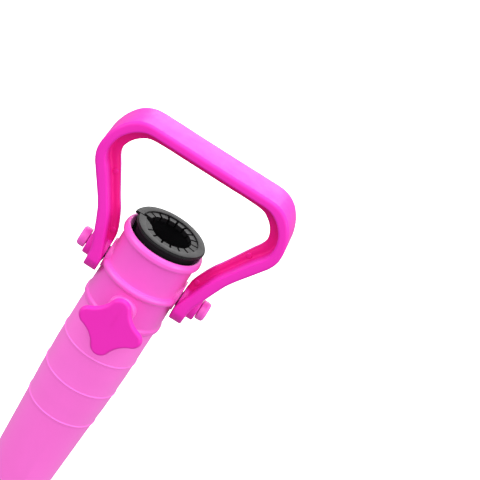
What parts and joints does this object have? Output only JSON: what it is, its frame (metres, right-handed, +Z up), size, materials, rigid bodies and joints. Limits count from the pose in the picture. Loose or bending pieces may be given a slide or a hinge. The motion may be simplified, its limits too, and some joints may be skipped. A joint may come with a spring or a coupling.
{
  "type": "beach umbrella sand anchor",
  "caption": "Hollow screw-in ground spike with an auger flight, a pole socket with a split reducer insert and thumb screw, and a folding loop handle.",
  "frame": {"origin": "middle of the spike's flat tip end", "axes": "+Z up the spike towards the head and handle, -Y towards the thumb screw, X along the handle's two pivot pins"},
  "size_m": [0.1132, 0.0675, 0.4134],
  "materials": {
    "pink_plastic": "moulded bright pink plastic, satin gloss",
    "magenta_plastic": "moulded magenta plastic, slightly deeper than the body, satin gloss",
    "black_plastic": "moulded black nylon, semi-gloss",
    "steel": "zinc-plated steel"
  },
  "bodies": {
    "anchor": {"spike_body": "pink_plastic", "head_collar": "pink_plastic", "pivot_pin_right": "pink_plastic", "pivot_pin_left": "pink_plastic", "clamp_nut": "steel"},
    "handle": {"carry_handle": "magenta_plastic"},
    "insert": {"pole_insert": "black_plastic"},
    "screw": {"clamp_bolt": "steel"},
    "knob": {"clamp_knob": "magenta_plastic"}
  },
  "joints": [
    {"name": "handle_fold", "type": "hinge", "parent": "anchor", "child": "handle", "pos_m": [0, 0, 0.33215], "axis": [1, 0, 0], "range_deg": [-152, 152]},
    {"name": "insert_lift", "type": "slide", "parent": "anchor", "child": "insert", "axis": [0, 0, 1], "range_m": [0, 0.038]},
    {"name": "screw_advance", "type": "slide", "parent": "anchor", "child": "screw", "axis": [0, 1, 0], "range_m": [-0.005, 0.004]},
    {"name": "knob_turn", "type": "hinge", "parent": "screw", "child": "knob", "pos_m": [0, -0.034, 0.313], "axis": [0, 1, 0], "range_deg": [-1800, 1440]}
  ],
  "couplings": [
    {"joint": "screw_advance", "follows": "knob_turn", "m_per_rad": 0.00015915}
  ]
}
